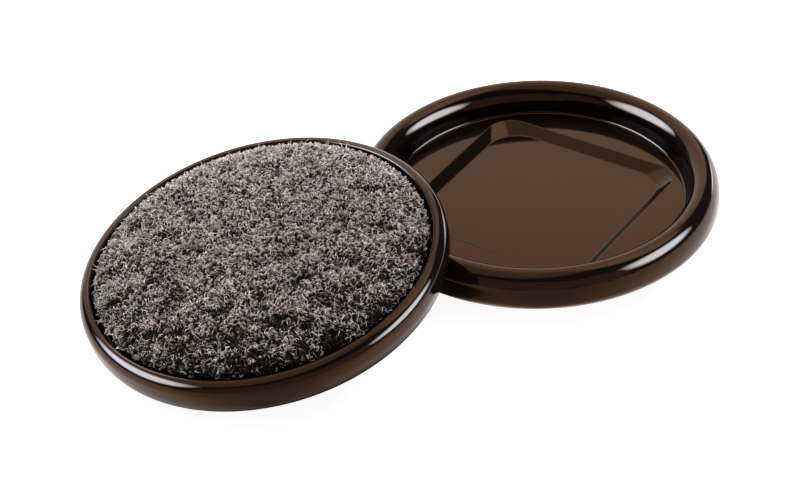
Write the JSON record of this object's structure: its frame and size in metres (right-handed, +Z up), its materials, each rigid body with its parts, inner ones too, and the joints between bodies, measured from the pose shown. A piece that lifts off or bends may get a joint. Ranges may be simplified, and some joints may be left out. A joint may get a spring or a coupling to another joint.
{
  "type": "caster cup",
  "caption": "Round plastic caster cup with a rounded rim, a sunk square seat for a furniture leg and a carpet pad underneath, shown upright with its like turned over and propped on its rim.",
  "frame": {"origin": "middle of the upright cup's carpet pad, on its underside, where it stands on the floor", "axes": "+Z up out of the upright recess, +Y away from the picture's viewpoint, +X to its right"},
  "size_m": [0.1107, 0.0869, 0.0194],
  "materials": {
    "brown_plastic": "high-gloss moulded, very dark brown",
    "adhesive": "tacky film",
    "carpet": "needled heather grey carpet"
  },
  "bodies": {
    "upright_cup": {"upright_cup_shell": "brown_plastic", "upright_adhesive_disc": "adhesive", "upright_carpet_pad": "carpet"},
    "leaning_cup": {"leaning_cup_shell": "brown_plastic", "leaning_adhesive_disc": "adhesive", "leaning_carpet_pad": "carpet"}
  },
  "joints": [
    {"name": "leaning_cup_lift", "type": "slide", "parent": "upright_cup", "child": "leaning_cup", "axis": [0, 0, 1], "range_m": [0, 0.03]}
  ]
}
